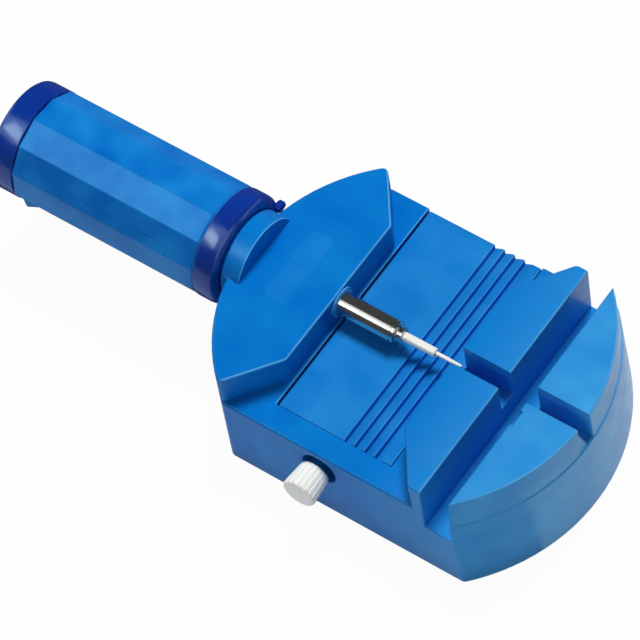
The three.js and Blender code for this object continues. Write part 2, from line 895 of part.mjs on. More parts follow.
function capNeedleSpots() {
  return Array.from({ length: cap.needles }, (_, index) => {
    const angle = Math.PI / 2 + (2 * Math.PI * index) / cap.needles;
    return [cap.needleCircle * Math.cos(angle), cap.needleCircle * Math.sin(angle)];
  });
}

const needleRear = capFloor + needleGap;

// End cap: a plug with a rack inside that holds the spare needles
function endCap() {
  const spigot = grip.wallRadius - gap;
  const spigotFront = capFront + cap.spigotLong;
  const seatMiddle = capFront + cap.spigotLong / 2;
  const seatHalf = cap.ringRadius + needleGap;
  const inside = spigot - cap.ringSeat - cap.spigotWall;
  const edge = cap.edgeRound;
  const shell = solid(turned([
    [capRear, 0],
    [capRear, cap.radius - edge],
    [capRear + edge * (1 - Math.SQRT1_2), cap.radius - edge * (1 - Math.SQRT1_2)],
    [capRear + edge, cap.radius],
    [capFront, cap.radius],
    [capFront, spigot],
    [seatMiddle - seatHalf, spigot],
    [seatMiddle - seatHalf, spigot - cap.ringSeat - needleGap],
    [seatMiddle + seatHalf, spigot - cap.ringSeat - needleGap],
    [seatMiddle + seatHalf, spigot],
    [spigotFront, spigot],
    [spigotFront, inside],
    [capFloor, inside],
    [capFloor, cap.rackRadius],
    [capFloor + cap.rackLong, cap.rackRadius],
    [capFloor + cap.rackLong, 0],
  ], roundSteps.large));
  const holes = capNeedleSpots().map(([y, z]) => {
    const profile = rodProfile(capFloor, capFloor + cap.rackLong + overrun, rod.needleRadius + needleGap);
    return solid(turned(profile, roundSteps.needle).translate(0, y, z));
  });
  return cut(shell, holes);
}

// Rubber ring that grips the handle's rear bore
function capRing() {
  const middle = capFront + cap.spigotLong / 2;
  const inner = grip.wallRadius - gap - cap.ringSeat;
  const outer = grip.wallRadius - needleGap / 2;
  return solid(turned(ringProfile(middle - cap.ringRadius, middle + cap.ringRadius, inner, outer), roundSteps.large));
}

function spareNeedle([y, z]) {
  const profile = rodProfile(needleRear, needleRear + rod.needleProud + rod.needleHidden, rod.needleRadius);
  return solid(turned(profile, roundSteps.needle).translate(0, y, z));
}

// Materials from the photograph

function plastic(colour, roughness) {
  return new THREE.MeshStandardMaterial({ color: colour, roughness, metalness: 0 });
}

function metal(colour, roughness) {
  return new THREE.MeshStandardMaterial({ color: colour, roughness, metalness: 1 });
}

const bluePlastic = plastic(0x1478d0, 0.42);
const navyPlastic = plastic(0x16289a, 0.22);
const steel = metal(0xc9cbcc, 0.22);
const nickel = metal(0xd8dad8, 0.3);
const brass = metal(0xc9a552, 0.35);
const rubber = plastic(0x1b1b1d, 0.8);

const group = new THREE.Group();
group.add(
  named("base_body", baseBody(), bluePlastic),
  named("bed_plate", bedPlate(), bluePlastic),
  named("bed_screw", thumbScrew(), nickel),
  named("bed_washer", bedWasher(), nickel),
  named("bed_clip", bedClip(), steel),
  named("bed_nut", bedNut(), brass),
  named("push_rod", pushRod(), steel),
  named("pin_ferrule", pinFerrule(), steel),
  named("pin_holder", pinHolder(), steel),
  named("push_needle", needle(), steel),
  named("handle_grip", handleGrip(), bluePlastic),
  named("handle_collar", handleCollar(), navyPlastic),
  named("thrust_washer_front", thrustWasher(partitionRear - gap), brass),
  named("thrust_washer_rear", rearWasher(), brass),
  named("thrust_plug", thrustPlug(), brass),
  named("end_cap", endCap(), navyPlastic),
  named("cap_ring", capRing(), rubber),
  ...capNeedleSpots().map((spot, index) => named(`spare_needle_${index + 1}`, spareNeedle(spot), steel)),
);

export default group;
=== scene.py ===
"""Watch link remover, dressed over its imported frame.

Lengths are in metres, but places and radii on the tool are in millimetres, and MM turns them into metres.
"""
import math

import bmesh
import bpy
from mathutils import Matrix, Vector


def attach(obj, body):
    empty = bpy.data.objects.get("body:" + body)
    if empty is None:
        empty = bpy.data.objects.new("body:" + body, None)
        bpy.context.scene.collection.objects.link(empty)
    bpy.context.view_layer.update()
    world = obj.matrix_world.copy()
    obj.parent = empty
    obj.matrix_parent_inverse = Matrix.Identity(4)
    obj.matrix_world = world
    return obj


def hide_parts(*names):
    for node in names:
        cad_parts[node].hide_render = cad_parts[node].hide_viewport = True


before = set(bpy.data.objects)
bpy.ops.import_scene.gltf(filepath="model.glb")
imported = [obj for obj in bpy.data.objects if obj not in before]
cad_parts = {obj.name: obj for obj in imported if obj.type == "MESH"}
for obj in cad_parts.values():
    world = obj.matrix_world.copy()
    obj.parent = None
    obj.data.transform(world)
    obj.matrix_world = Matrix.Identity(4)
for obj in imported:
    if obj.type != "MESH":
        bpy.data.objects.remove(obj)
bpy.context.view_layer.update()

MM = 0.001
X_AXIS = 0
Y_AXIS = 1

# Camera fitted to the photograph's edges: angles in degrees, lengths in metres
AZIMUTH = 43.80087
ELEVATION = 57.20997
ROLL = -10.64155
DISTANCE = 0.851834
SHIFT_RIGHT = -0.015341
SHIFT_UP = 0.013169
FOCAL_PIXELS = 5038.67
IMAGE_PIXELS = 640
SENSOR = 36.0  # in millimetres
CLIP_NEAR = 0.01
CLIP_FAR = 20

# Places and radii on the tool, in millimetres
AXIS_HEIGHT = 20.4  # of the handle, the rod and the needle
TOP_HEIGHT = 23.6  # of the rear block and the jaws
NEAR_SIDE = -25
COLLAR_FRONT = -31.175
COLLAR_REAR = -35.275
GRIP_FRONT = -35.575
GRIP_REAR = -73.275
GRIP_RIDGE = 10.35  # from the axis to a ridge between two facets
GRIP_FACETS = 12
CAP_FRONT = -73.575
CAP_REAR = -78.375
BAND_RADIUS = 10.15  # of the collar and the end cap
SEAM = 0.085  # by which a band reaches into its seam beside the grip
ROD_RADIUS = 2.07
ROD_REAR = -61.675
KNOB_X = -0.4
KNOB_Z = 12.2
KNOB_OUTER = -30.7
KNOB_INNER = -25.5
RECESS_RADIUS = 3.9  # of the round recess behind the thumb screw's head

# How a colour from 0 to 255 becomes a linear one
COLOUR_MAX = 255
SRGB_KNEE = 0.04045
SRGB_SLOPE = 12.92
SRGB_OFFSET = 0.055
SRGB_POWER = 2.4

# Noise: the range that most of its values fall in
NOISE_LOW = 0.3
NOISE_HIGH = 0.7

# Moulded plastic: scales in features per metre, depths in metres
SINK_SCALE = 130
SINK_DETAIL = 1.5
SINK_STRENGTH = 0.5
GRAIN_SCALE = 5200
GRAIN_DETAIL = 2
GRAIN_STRENGTH = 0.5
SCUFF_SCALE = 260
SCUFF_DETAIL = 3
SCUFF_STRENGTH = 0.4
SCUFF_TIMES_GRAIN = 3  # how much deeper a scuff is than the grain
GLOSS_SCALE = 420
GLOSS_DETAIL = 3
GLOSS_SMOOTHER = 0.05
GLOSS_ROUGHER = 0.06
# How much of the painted sheen shows, by the mottle
FADE_LEAST = 0.6  # how much of a fade shows where the mottle is lowest
FADE_MOST = 1.3  # and where it is highest

# Turned metal: its fine lines
LINE_SCALE = 900
LINE_DETAIL = 3
LINE_STRENGTH = 0.25
LINE_DEPTH = 0.000002
LINE_SMOOTHER = 0.8
LINE_ROUGHER = 1.3

# Rounding of copied CAD nodes: lengths in metres, angles in degrees
SAME_PLACE = 1e-6
SAME_END = 0.02 * MM
FLAT_ANGLE = 0.6
ROUNDED_ANGLE = 35
ROUND_SEGMENTS = 2
ROUND_PROFILE = 0.5
# Rounding that faces up and forward is given a painted highlight, a paler blue
HIGHLIGHT_EDGE_UP = 0.3  # least share of an edge's direction, up and forward, that makes it pale
HIGHLIGHT_EDGE_FORWARD = 0.2
NORMAL_WEIGHT = 80

# Turned pieces
ROUND_STEPS = 96
FILLET_STEPS = 3
TINY_RADIUS = 1e-6


# Materials

def shader(name, colour, roughness, metallic=0.0, specular=0.5):
    """A plain material, with its node tree and its shader."""
    material = bpy.data.materials.new(name)
    material.use_nodes = True
    tree = material.node_tree
    bsdf = tree.nodes["Principled BSDF"]
    bsdf.inputs["Base Color"].default_value = (*colour, 1)
    bsdf.inputs["Roughness"].default_value = roughness
    bsdf.inputs["Metallic"].default_value = metallic
    bsdf.inputs["Specular IOR Level"].default_value = specular
    return material, tree, bsdf


def linear(red, green, blue):
    """An sRGB colour from 0 to 255, as linear shares."""
    def one(value):
        share = value / COLOUR_MAX
        if share <= SRGB_KNEE:
            return share / SRGB_SLOPE
        return ((share + SRGB_OFFSET) / (1 + SRGB_OFFSET)) ** SRGB_POWER
    return tuple(one(value) for value in (red, green, blue))


def node(tree, kind, **values):
    """A new node, with some of its properties set."""
    made = tree.nodes.new(kind)
    for key, value in values.items():
        setattr(made, key, value)
    return made


def noise(tree, scale, detail, stretch=(1, 1, 1)):
    """Noise on the piece's own coordinates, in features per metre, stretched along an axis."""
    place = node(tree, "ShaderNodeTexCoord")
    mapping = node(tree, "ShaderNodeMapping")
    mapping.inputs["Scale"].default_value = stretch
    made = node(tree, "ShaderNodeTexNoise")
    made.inputs["Scale"].default_value = scale
    made.inputs["Detail"].default_value = detail
    tree.links.new(place.outputs["Object"], mapping.inputs["Vector"])
    tree.links.new(mapping.outputs["Vector"], made.inputs["Vector"])
    return made.outputs["Fac"]


def spread(tree, value, low, high, from_low=NOISE_LOW, from_high=NOISE_HIGH):
    """Maps a value to another range, from the one that most of a noise falls in unless others are given."""
    made = node(tree, "ShaderNodeMapRange")
    made.inputs["From Min"].default_value = from_low
    made.inputs["From Max"].default_value = from_high
    made.inputs["To Min"].default_value = low
    made.inputs["To Max"].default_value = high
    tree.links.new(value, made.inputs["Value"])
    return made.outputs["Result"]


def two_tone(tree, value, first, second):
    """A colour between two, by a value from 0 to 1."""
    mix = node(tree, "ShaderNodeMix", data_type="RGBA")
    mix.inputs["A"].default_value = (*first, 1)
    mix.inputs["B"].default_value = (*second, 1)
    tree.links.new(value, mix.inputs["Factor"])
    return mix.outputs["Result"]


def bumps(tree, bsdf, layers):
    """Chains bump layers, each a height value, its strength and its depth in metres."""
    normal = None
    for height, strength, depth in layers:
        made = node(tree, "ShaderNodeBump")
        made.inputs["Strength"].default_value = strength
        made.inputs["Distance"].default_value = depth
        tree.links.new(height, made.inputs["Height"])
        if normal is not None:
            tree.links.new(normal, made.inputs["Normal"])
        normal = made.outputs["Normal"]
    tree.links.new(normal, bsdf.inputs["Normal"])


def paler(tree, colour, mottle, pale, start, end):
    """Fades a colour unevenly towards a paler one, between two places along the tool, as a painted sheen."""
    place = node(tree, "ShaderNodeTexCoord")
    split = node(tree, "ShaderNodeSeparateXYZ")
    tree.links.new(place.outputs["Object"], split.inputs["Vector"])
    mix = node(tree, "ShaderNodeMix", data_type="RGBA")
    mix.inputs["B"].default_value = (*pale, 1)
    share = node(tree, "ShaderNodeMath", operation="MULTIPLY", use_clamp=True)
    tree.links.new(spread(tree, split.outputs["X"], 0, 1, start, end), share.inputs[0])
    tree.links.new(spread(tree, mottle, FADE_LEAST, FADE_MOST), share.inputs[1])
    tree.links.new(share.outputs[0], mix.inputs["Factor"])
    tree.links.new(colour, mix.inputs["A"])
    return mix.outputs["Result"]


def moulded(name, colour, other, rough, specular=0.3, sink=0.00006, grain=0.000004, streak=None, fade=None,
            gloss=(1, 1, 1)):
    """Moulded plastic of two tones: slow sink marks, a fine grain, and scuffs along one direction."""
    material, tree, bsdf = shader(name, colour, rough, specular=specular)
    bsdf.inputs["Specular Tint"].default_value = (*gloss, 1)
    slow = noise(tree, SINK_SCALE, SINK_DETAIL)
    tint = two_tone(tree, spread(tree, slow, 0, 1), colour, other)
    # a painted sheen: the blue grows paler along the tool
    if fade:
        tint = paler(tree, tint, slow, *fade)
    tree.links.new(tint, bsdf.inputs["Base Color"])
    patches = noise(tree, GLOSS_SCALE, GLOSS_DETAIL)
    uneven = spread(tree, patches, rough - GLOSS_SMOOTHER, rough + GLOSS_ROUGHER)
    tree.links.new(uneven, bsdf.inputs["Roughness"])
    layers = [
        (slow, SINK_STRENGTH, sink),
        (noise(tree, GRAIN_SCALE, GRAIN_DETAIL), GRAIN_STRENGTH, grain),
    ]
    if streak:
        scuffs = noise(tree, SCUFF_SCALE, SCUFF_DETAIL, streak)
        layers.append((scuffs, SCUFF_STRENGTH, grain * SCUFF_TIMES_GRAIN))
    bumps(tree, bsdf, layers)
    return material


def metal(name, colour, rough, stretch, metallic=1.0):
    """Metal with fine lines, stretched along an axis."""
    material, tree, bsdf = shader(name, colour, rough, metallic=metallic)
    lines = noise(tree, LINE_SCALE, LINE_DETAIL, stretch)
    uneven = spread(tree, lines, rough * LINE_SMOOTHER, rough * LINE_ROUGHER)
    tree.links.new(uneven, bsdf.inputs["Roughness"])
    bumps(tree, bsdf, [(lines, LINE_STRENGTH, LINE_DEPTH)])
    return material


# The painted sheen on the jaws, paler towards the front
PAINTED_SHEEN_FRONT = (linear(66, 166, 232), 0.01, 0.042)  # the colour, and where the fade starts and ends
BLUE_GLOSS = (0.35, 0.9, 1.0)
NAVY_GLOSS = (0.7, 0.95, 1.0)
ROUND_LINES = (4, 0.2, 0.2)  # lines go round the tool's axis
BRASS_LINES = (4, 0.3, 0.3)
EVEN_LINES = (1, 1, 1)
BED_SCUFFS = (6, 0.12, 1)  # scuffs go across the bed
BAND_SCUFFS = (0.2, 5, 5)  # scuffs go along the tool
MATERIALS = {
    "body": moulded("blue_body", linear(6, 126, 211), linear(2, 112, 203), rough=0.33, specular=0.45,
                    fade=PAINTED_SHEEN_FRONT, gloss=BLUE_GLOSS),
    # A paler, glossier blue: a painted highlight on rounding that faces up and forward, and on the rod's rim
    "edge": moulded("blue_edge", linear(92, 180, 246), linear(72, 166, 240), rough=0.28, specular=0.7,
                    gloss=BLUE_GLOSS),
    "bed": moulded("blue_bed", linear(36, 136, 214), linear(16, 122, 206), rough=0.4, specular=0.35,
                   streak=BED_SCUFFS, gloss=BLUE_GLOSS),
    "grip": moulded("blue_grip", linear(22, 136, 219), linear(0, 106, 200), rough=0.3, specular=0.45,
                    grain=0.000002, gloss=BLUE_GLOSS),
    "navy": moulded("navy_band", linear(3, 56, 160), linear(1, 46, 146), rough=0.19, specular=1.0,
                    sink=0.00002, grain=0.000009, streak=BAND_SCUFFS, gloss=NAVY_GLOSS),
    "steel": metal("bright_steel", linear(214, 216, 208), rough=0.12, stretch=ROUND_LINES),
    # A rough steel, nearly white and barely metal, so that its broad highlight is painted in as colour
    "satin_and_glare": metal("satin_steel_painted_glare", linear(253, 254, 246), rough=0.34, stretch=ROUND_LINES, metallic=0.08),
    # Nearly white and barely metal: the bright nickel's reflection is painted in as colour
    "nickel": metal("nickel_painted_glare", linear(254, 255, 250), rough=0.36, stretch=EVEN_LINES, metallic=0.04),
    # A dark grey for the knurl's grooves: painted shade
    "groove": metal("knurl_groove", linear(96, 98, 92), rough=0.4, stretch=EVEN_LINES, metallic=0.3),
    "pad": moulded("blue_pad", linear(22, 130, 212), linear(4, 117, 206), rough=0.33, specular=0.45,
                   gloss=BLUE_GLOSS),
    "brass": metal("turned_brass", linear(206, 170, 96), rough=0.28, stretch=BRASS_LINES),
    "rubber": moulded("black_rubber", linear(22, 22, 24), linear(30, 30, 32), rough=0.7),
}


# Meshes

def placed(name, data):
    """A new object in the scene."""
    obj = bpy.data.objects.new(name, data)
    bpy.context.scene.collection.objects.link(obj)
    return obj


def linked(name, mesh, body, slot, material, *replaced):
    """A visible piece that rides a body, and the CAD nodes that it stands for."""
    obj = placed(name, mesh)
    mesh.materials.clear()
    mesh.materials.append(material)
    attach(obj, body)
    if replaced:
        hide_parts(*replaced)
    return obj


def finished(made, name):
    """A new mesh of what was built."""
    mesh = bpy.data.meshes.new(name)
    made.to_mesh(mesh)
    made.free()
    return mesh


def applied(obj):
    """Bakes the object's modifiers into its mesh."""
    graph = bpy.context.evaluated_depsgraph_get()
    baked = bpy.data.meshes.new_from_object(obj.evaluated_get(graph), depsgraph=graph)
    obj.modifiers.clear()
    old = obj.data
    obj.data = baked
    bpy.data.meshes.remove(old)


def smooth(mesh, angle=38):
    """Shades a mesh smooth, but for edges sharper than an angle in degrees."""
    mesh.shade_smooth()
    mesh.set_sharp_from_angle(angle=math.radians(angle))


def joined(made, low, high):
    """Faces between two loops of corners, either of which may be a single point."""
    count = max(len(low), len(high))
    faces = []
    for step in range(count):
        after = (step + 1) % count
        if len(low) == 1:
            corners = (low[0], high[after], high[step])
        elif len(high) == 1:
            corners = (low[step], low[after], high[0])
        else:
            corners = (low[step], low[after], high[after], high[step])
        faces.append(made.faces.new(corners))
    return faces


def put_at(mesh, angle):
    """Turns a mesh made above the tool's axis to an angle in degrees up from the far side."""
    mesh.transform(Matrix.Rotation(math.radians(angle - 90), 4, "X"))
    mesh.transform(Matrix.Translation((0, 0, AXIS_HEIGHT * MM)))


def pushed(made, axis, side, amount):
    """Moves the outermost vertices of one end out, which narrows the seam beside them."""
    places = [vert.co[axis] for vert in made.verts]
    limit = max(places) if side > 0 else min(places)
    for vert in made.verts:
        if abs(vert.co[axis] - limit) < SAME_END:
            vert.co[axis] += side * amount


def on_recess_rim(vert):
    """Whether a corner is on the rim of the thumb screw's recess."""
    reach = 0.1
    tolerance = 0.05
    across = math.hypot(vert.co.x / MM - KNOB_X, vert.co.z / MM - KNOB_Z)
    return vert.co.y < (NEAR_SIDE + reach) * MM and abs(across - RECESS_RADIUS) < tolerance


def dressed(source, name, body, slot, material, width, pushes=()):
    """A copy of a CAD node with its convex edges rounded, and a painted highlight, a paler blue, where they
    face up and forward.
    """
    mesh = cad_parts[source].data.copy()
    obj = linked(name, mesh, body, slot, material, source)
    made = bmesh.new()
    made.from_mesh(mesh)
    bmesh.ops.remove_doubles(made, verts=made.verts, dist=SAME_PLACE)
    flat = math.radians(FLAT_ANGLE)
    bmesh.ops.dissolve_limit(made, angle_limit=flat, verts=made.verts, edges=made.edges)
    for push in pushes:
        pushed(made, *push)
    made.normal_update()
    limit = math.radians(ROUNDED_ANGLE)
    edges = [each for each in made.edges if each.is_manifold and each.calc_face_angle_signed(0) > limit]
    edges = [each for each in edges if not all(on_recess_rim(vert) for vert in each.verts)]
    result = bmesh.ops.bevel(made, geom=edges, offset=width, offset_type="OFFSET", segments=ROUND_SEGMENTS,
                             profile=ROUND_PROFILE, affect="EDGES", clamp_overlap=False, loop_slide=True,
                             miter_outer="ARC")
    made.normal_update()
    for face in result["faces"]:
        # the rounding that faces up and forward takes the painted highlight
        face.material_index = int(face.normal.z > HIGHLIGHT_EDGE_UP and face.normal.x > HIGHLIGHT_EDGE_FORWARD)
    made.to_mesh(mesh)
    made.free()
    mesh.materials.append(MATERIALS["edge"])
    weighted = obj.modifiers.new("weighted", "WEIGHTED_NORMAL")
    weighted.keep_sharp = True
    weighted.weight = NORMAL_WEIGHT
    smooth(mesh, angle=33)
    applied(obj)


def filleted(profile):
    """Rounds the corners of a profile of (place, radius, fillet) in millimetres."""
    points = []
    for index, (place, radius, fillet) in enumerate(profile):
        here = Vector((place, radius))
        if not fillet or index in (0, len(profile) - 1):
            points.append(here)
            continue
        before = Vector(profile[index - 1][:2]) - here
        after = Vector(profile[index + 1][:2]) - here
        first = here + before.normalized() * min(fillet, before.length / 2)
        last = here + after.normalized() * min(fillet, after.length / 2)
        for step in range(FILLET_STEPS + 1):
            share = step / FILLET_STEPS
            points.append(first * (1 - share) ** 2 + here * 2 * share * (1 - share) + last * share ** 2)
    return points


def turned(name, profile, body, slot, material, replaced=(), steps=ROUND_STEPS, across=False):
    """Revolves a profile of (place, radius, fillet) about the tool's axis, or about the thumb screw's."""
    points = filleted(profile)
    made = bmesh.new()
    rings = []
    for place, radius in points:
        if radius < TINY_RADIUS:
            rings.append([made.verts.new((place * MM, 0, 0))])
            continue
        ring = []
        for step in range(steps):
            angle = 2 * math.pi * step / steps
            side = radius * math.cos(angle) * MM
            rise = radius * math.sin(angle) * MM
            ring.append(made.verts.new((place * MM, side, rise)))
        rings.append(ring)
    pairs = list(zip(rings, rings[1:]))
    if points[0][1] > TINY_RADIUS and points[-1][1] > TINY_RADIUS:
        pairs.append((rings[-1], rings[0]))
    for low, high in pairs:
        joined(made, low, high)
    bmesh.ops.recalc_face_normals(made, faces=made.faces)
    mesh = finished(made, name)
    if across:
        mesh.transform(Matrix.Rotation(math.pi / 2, 4, "Z"))
        mesh.transform(Matrix.Translation((KNOB_X * MM, 0, KNOB_Z * MM)))
    else:
        mesh.transform(Matrix.Translation((0, 0, AXIS_HEIGHT * MM)))
    smooth(mesh)
    linked(name, mesh, body, slot, material, *replaced)


# Pieces

def base_and_plate():
    """The moulding, and the stepped plate, which reaches closer to the inner jaw and the near side."""
    dressed("base_body", "base_moulding", "base", "blue_plastic", MATERIALS["body"], width=0.2 * MM)
    dressed("bed_plate", "stepped_bed", "bed", "blue_plastic", MATERIALS["bed"], width=0.08 * MM,
            pushes=((X_AXIS, 1, 0.15 * MM), (Y_AXIS, -1, 0.23 * MM)))


def recess_lining():
    """A lining that narrows the thumb screw's recess to the round that shows, set off up and forward."""
    inside = -23.2
    outer = 3.885
    offset_share = 0.7  # of an offset, forward and up alike
    rings = (
        (inside, outer, 0), (NEAR_SIDE, outer, 0), (NEAR_SIDE, 3.45, 0.43),
        (-24.95, 3.36, 0.48), (-24.85, 3.33, 0.5), (inside, 3.33, 0.5),
    )
    turns = [2 * math.pi * step / ROUND_STEPS for step in range(ROUND_STEPS)]
    made = bmesh.new()
    loops = []
    for place, radius, offset in rings:
        centre_x = KNOB_X + offset * offset_share
        centre_z = KNOB_Z + offset * offset_share
        loops.append([
            made.verts.new((
                (centre_x + radius * math.cos(turn)) * MM,
                place * MM,
                (centre_z + radius * math.sin(turn)) * MM,
            ))
            for turn in turns
        ])
    for low, high in zip(loops, loops[1:] + loops[:1]):
        joined(made, low, high)
    bmesh.ops.recalc_face_normals(made, faces=made.faces)
    mesh = finished(made, "recess_lining")
    smooth(mesh)
    linked("recess_lining", mesh, "base", "blue_plastic", MATERIALS["body"])


def top_pad():
    """The faint raised pad, with round corners, on the rear block's top."""
    left, right = -22.9, -18.3
    near, far = -7.0, 8.0
    corner = 1.2
    sunk, wall, proud, inset = 0.1, 0.015, 0.03, 0.12
    corner_starts = ((right, far, 0), (left, far, 90), (left, near, 180), (right, near, 270))
    quarter = range(0, 91, 15)
    made = bmesh.new()
    loops = []
    for height, drawn_in in ((TOP_HEIGHT - sunk, 0), (TOP_HEIGHT + wall, 0), (TOP_HEIGHT + proud, inset)):
        loop = []
        reach = corner - drawn_in
        for x, y, start in corner_starts:
            centre_x = x - corner if x == right else x + corner
            centre_y = y - corner if y == far else y + corner
            for degrees in quarter:
                turn = math.radians(start + degrees)
                place_x = (centre_x + reach * math.cos(turn)) * MM
                place_y = (centre_y + reach * math.sin(turn)) * MM
                loop.append(made.verts.new((place_x, place_y, height * MM)))
        loops.append(loop)
    for low, high in zip(loops, loops[1:]):
        joined(made, low, high)
    made.faces.new(loops[-1])
    made.faces.new(list(reversed(loops[0])))
    mesh = finished(made, "top_pad")
    smooth(mesh)
    linked("top_pad", mesh, "base", "blue_plastic", MATERIALS["pad"])


def rod_bush():
    """The rim round the rod's hole, close to the rod, in the paler blue of a painted highlight."""
    inside, face = -13.0, -11.6
    outer, bore = 2.62, 2.12
    turned("rod_bush", [
        (inside, outer, 0), (face, outer, 0.1), (face, bore, 0.08), (inside, bore, 0),
    ], "base", "blue_plastic", MATERIALS["edge"])


def lug(name, root, top, angle, body, slot, material):
    """A softened lug at an angle up from the far side, its root and top each (radius, from, to, wide)."""
    mesh = bpy.data.meshes.new(name)
    corners = [
        Vector((place * MM, side * wide / 2 * MM, radius * MM))
        for radius, start, end, wide in (root, top)
        for place, side in ((start, -1), (end, -1), (end, 1), (start, 1))
    ]
    walls = [(at, (at + 1) % 4, (at + 1) % 4 + 4, at + 4) for at in range(4)]
    mesh.from_pydata(corners, [], [(3, 2, 1, 0), (4, 5, 6, 7)] + walls)
    obj = linked(name, mesh, body, slot, material)
    put_at(mesh, angle)
    bevel = obj.modifiers.new("bevel", "BEVEL")
    bevel.width = 0.3 * MM
    bevel.segments = 3
    mesh.shade_smooth()
    applied(obj)


def parting_line(name, angle, beside):
    """A fine ridge where the mould's halves met, along the facet at an angle, beside the facet's middle."""
    flat = GRIP_RIDGE * math.cos(math.pi / GRIP_FACETS)
    across = 0.16
    proud = 0.05
    sunk = 0.05
    clear = 1.2  # from each end of the grip
    fade_rate = 8  # over an eighth of the length at each end
    waves = ((0.05, 9, 0), (0.03, 31, 1))  # each its size, its rate and its start
    stations = 40
    section = ((-across / 2, -sunk), (-across / 6, proud), (across / 6, proud), (across / 2, -sunk))
    made = bmesh.new()
    rings = []
    for step in range(stations + 1):
        share = step / stations
        place = GRIP_REAR + clear + (GRIP_FRONT - GRIP_REAR - 2 * clear) * share
        fade = min(1, fade_rate * share, fade_rate * (1 - share))
        waver = sum(size * math.sin(rate * share + start) for size, rate, start in waves)
        ring = []
        for side, rise in section:
            height = flat + (rise + sunk) * fade - sunk
            ring.append(made.verts.new((place * MM, (beside + waver + side) * MM, height * MM)))
        rings.append(ring)
    for low, high in zip(rings, rings[1:]):
        joined(made, low, high)
    made.faces.new(rings[0])
    made.faces.new(rings[-1])
    bmesh.ops.recalc_face_normals(made, faces=made.faces)
    mesh = finished(made, name)
    put_at(mesh, angle)
    smooth(mesh, angle=60)
    linked(name, mesh, "handle", "blue_plastic", MATERIALS["grip"])


def handle():
    """The grip with its parting lines, the collar with its lug, and the end cap with its spigot."""
    dressed("handle_grip", "faceted_grip", "handle", "blue_plastic", MATERIALS["grip"], width=0.15 * MM,
            pushes=((X_AXIS, 1, 0.13 * MM), (X_AXIS, -1, 0.1 * MM)))
    collar_bore = 7.9
    cone_rear, cone_front_radius = -31.875, 8.6
    turned("dark_collar", [
        (COLLAR_REAR - SEAM, collar_bore, 0), (COLLAR_REAR - SEAM, BAND_RADIUS, 0.2),
        (cone_rear, BAND_RADIUS, 0.9), (COLLAR_FRONT, cone_front_radius, 0.3), (COLLAR_FRONT, collar_bore, 0),
    ], "handle", "navy_plastic", MATERIALS["navy"], ("handle_collar",))
    parting_line("near_parting_line", angle=144, beside=-0.55)
    parting_line("far_parting_line", angle=324, beside=-0.55)
    lug("collar_lug", root=(8.9, -32.125, -30.525, 1.8), top=(10.85, -31.725, -30.525, 1.3), angle=8,
        body="handle", slot="navy_plastic", material=MATERIALS["navy"])
    spigot_front, spigot_radius = -70.175, 7.7
    hollow_rear, hollow_radius = -76.9, 6
    turned("dark_end_cap", [
        (CAP_REAR, 0, 0), (CAP_REAR, BAND_RADIUS, 0.9), (CAP_FRONT + SEAM, BAND_RADIUS, 0.2),
        (CAP_FRONT + SEAM, spigot_radius, 0.1), (spigot_front, spigot_radius, 0.3),
        (spigot_front, hollow_radius, 0.1), (hollow_rear, hollow_radius, 0), (hollow_rear, 0, 0),
    ], "cap", "navy_plastic", MATERIALS["navy"], ("end_cap",))


def pusher():
    """The rod with its head and its nose, and the needle in its holder."""
    groove_rear, groove_front, groove_radius = -1.15, -0.95, 1.87
    rod_nose = -0.4
    socket_rear, socket_radius = -7.8, 1.1
    turned("bright_rod", [
        (ROD_REAR, 0, 0), (ROD_REAR, ROD_RADIUS, 0),
        (groove_rear, ROD_RADIUS, 0.05), (groove_rear, groove_radius, 0.05),
        (groove_front, groove_radius, 0.05), (groove_front, ROD_RADIUS, 0.08),
        (rod_nose, ROD_RADIUS, 0.15), (rod_nose, socket_radius, 0.1),
        (socket_rear, socket_radius, 0), (socket_rear, 0, 0),
    ], "pusher", "steel", MATERIALS["steel"], ("push_rod",))
    head_rear, head_radius = -63.175, 4.2
    turned("rod_head", [
        (head_rear, 0, 0), (head_rear, head_radius, 0.3), (ROD_REAR, head_radius, 0.3), (ROD_REAR, 0, 0),
    ], "pusher", "steel", MATERIALS["steel"])
    ring_rear, ring_front = -0.1, 0.8
    ring_bore, ring_low, ring_high = 1.0, 1.2, 1.45
    turned("nose_ring", [
        (ring_rear, ring_bore, 0), (ring_rear, ring_high, 0.1),
        (0.2, ring_high, 0.08), (0.2, ring_low, 0.05), (0.5, ring_low, 0.05), (0.5, ring_high, 0.08),
        (ring_front, ring_high, 0.1), (ring_front, ring_bore, 0),
    ], "pusher", "steel", MATERIALS["steel"], ("pin_ferrule",))
    holder_rear, holder_tip, holder_radius = -7.5, 7.2, 0.8
    bore_rear, bore_radius = 1.8, 0.5
    turned("needle_holder", [
        (holder_rear, 0, 0), (holder_rear, holder_radius, 0), (holder_tip, holder_radius, 0.15),
        (holder_tip, bore_radius, 0), (bore_rear, bore_radius, 0), (bore_rear, 0, 0),
    ], "pusher", "steel", MATERIALS["satin_and_glare"], ("pin_holder",))
    needle_rear, taper_rear, needle_tip = 2.0, 9.5, 12.3
    needle_radius, tip_radius = 0.37, 0.27
    turned("needle_point", [
        (needle_rear, 0, 0), (needle_rear, needle_radius, 0), (taper_rear, needle_radius, 0),
        (needle_tip, tip_radius, 0.06), (needle_tip, 0, 0),
    ], "pusher", "steel", MATERIALS["satin_and_glare"], ("push_needle",), steps=32)


